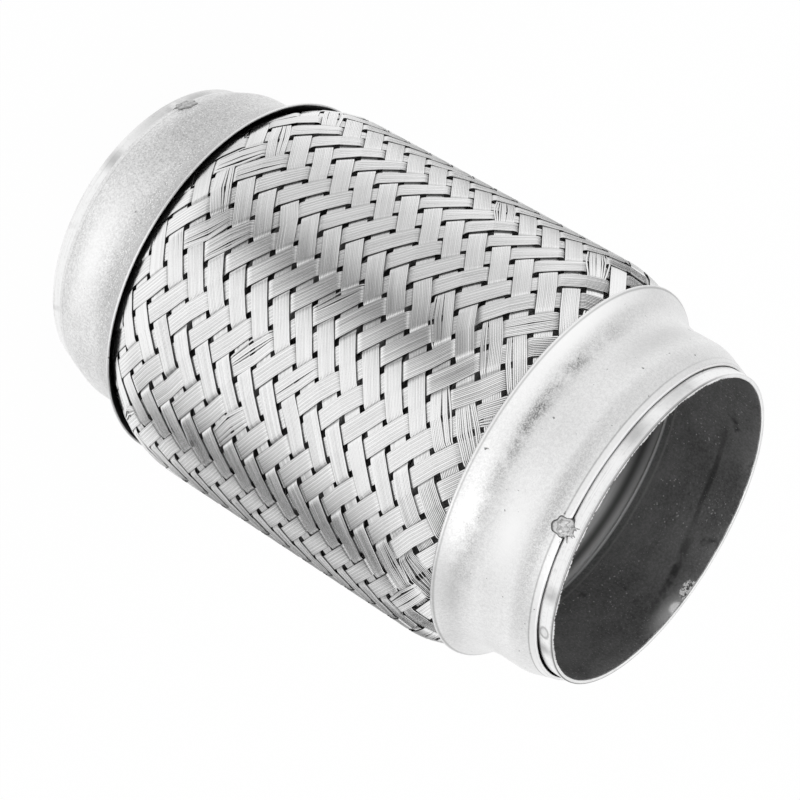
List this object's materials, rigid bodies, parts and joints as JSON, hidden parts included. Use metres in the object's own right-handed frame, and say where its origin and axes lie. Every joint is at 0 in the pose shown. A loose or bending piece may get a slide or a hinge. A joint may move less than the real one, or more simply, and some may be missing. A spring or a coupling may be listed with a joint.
{
  "type": "exhaust flex pipe",
  "caption": "Straight flexible exhaust coupling: a convoluted bellows under a woven wire braid, held at both ends by flared pressed caps over plain round sleeves that take a pipe.",
  "frame": {"origin": "centre of the lower mouth, on the surface that the pipe stands on", "axes": "+Z along the pipe's axis from the lower mouth to the upper mouth; -Y faces the viewer"},
  "size_m": [0.0978, 0.0978, 0.1524],
  "materials": {
    "blasted_cap_steel": "pale matte steel with a fine blasted grain, pits and a grey handling smudge",
    "sleeve_steel": "satin tube outside, dull dark grey inside with specks and scratches",
    "bellows_steel": "smooth formed thin sheet",
    "braid_wire": "bright drawn wire in flat bands",
    "weld_metal": "lumpy grey weld bead with spatter"
  },
  "bodies": {
    "root": {"upper_end_cap": "blasted_cap_steel", "lower_end_cap": "blasted_cap_steel", "upper_inner_sleeve": "sleeve_steel", "lower_inner_sleeve": "sleeve_steel", "bellows": "bellows_steel", "outer_braid": "braid_wire", "upper_tack_welds": "weld_metal", "lower_tack_welds": "weld_metal"}
  },
  "joints": []
}
